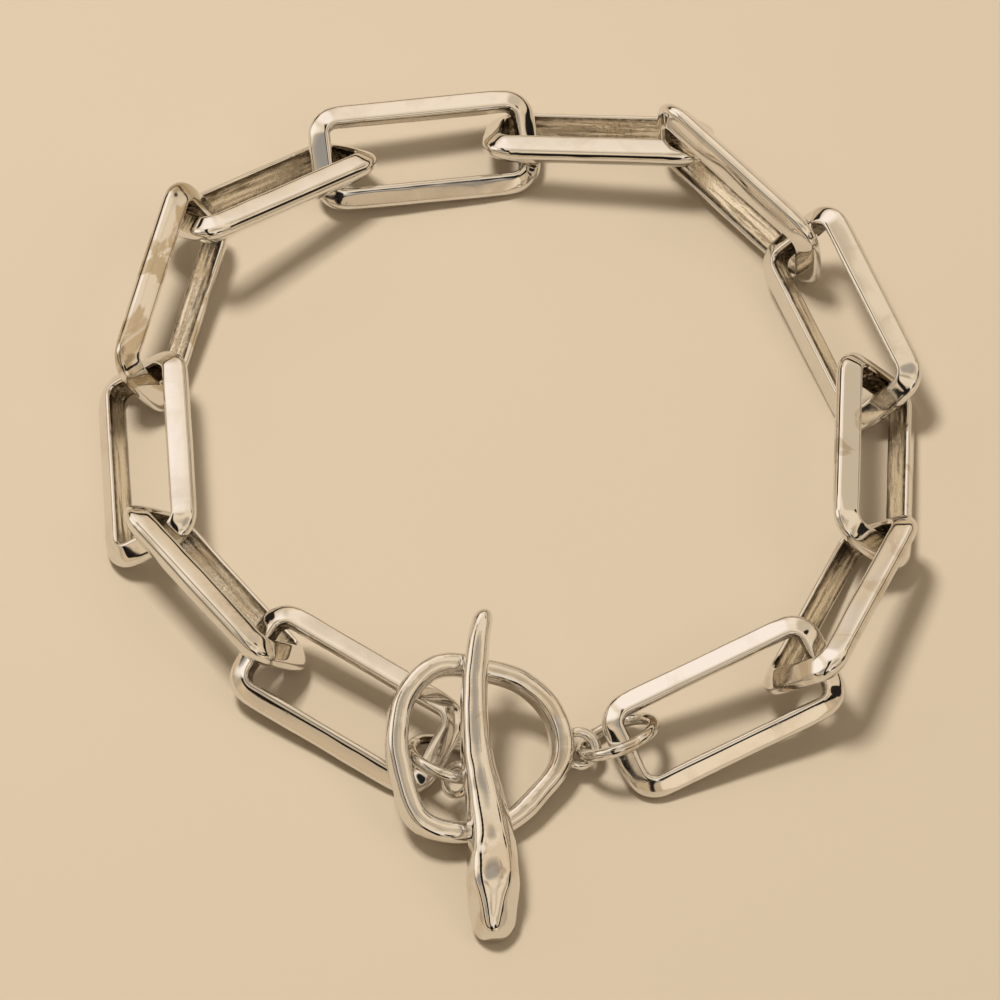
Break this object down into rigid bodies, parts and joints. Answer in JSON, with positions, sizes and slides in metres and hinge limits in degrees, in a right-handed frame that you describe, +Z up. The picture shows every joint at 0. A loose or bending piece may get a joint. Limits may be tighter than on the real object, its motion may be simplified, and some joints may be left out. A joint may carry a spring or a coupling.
{
  "type": "link bracelet",
  "caption": "Bracelet of large oblong cast links closed by a toggle ring and bar, lying as a closed loop.",
  "frame": {"origin": "middle of the box round the bracelet, on the surface that it lies on", "axes": "+Z up from the surface; Y along the bracelet's longer way, with the toggle at -Y; X across it"},
  "size_m": [0.0652, 0.0784, 0.0096],
  "materials": {
    "link_metal": "polished plating over a cast link, rough inside",
    "clasp_metal": "polished plating",
    "jump_ring_metal": "polished wire"
  },
  "bodies": {
    "root": {"link_01": "link_metal", "link_02": "link_metal", "link_03": "link_metal", "link_04": "link_metal", "link_05": "link_metal", "link_06": "link_metal", "link_07": "link_metal", "link_08": "link_metal", "link_09": "link_metal", "link_10": "link_metal", "link_11": "link_metal", "link_12": "link_metal", "toggle_ring": "clasp_metal", "toggle_bar": "clasp_metal", "jump_ring_first": "jump_ring_metal", "jump_ring_last": "jump_ring_metal"}
  },
  "joints": []
}
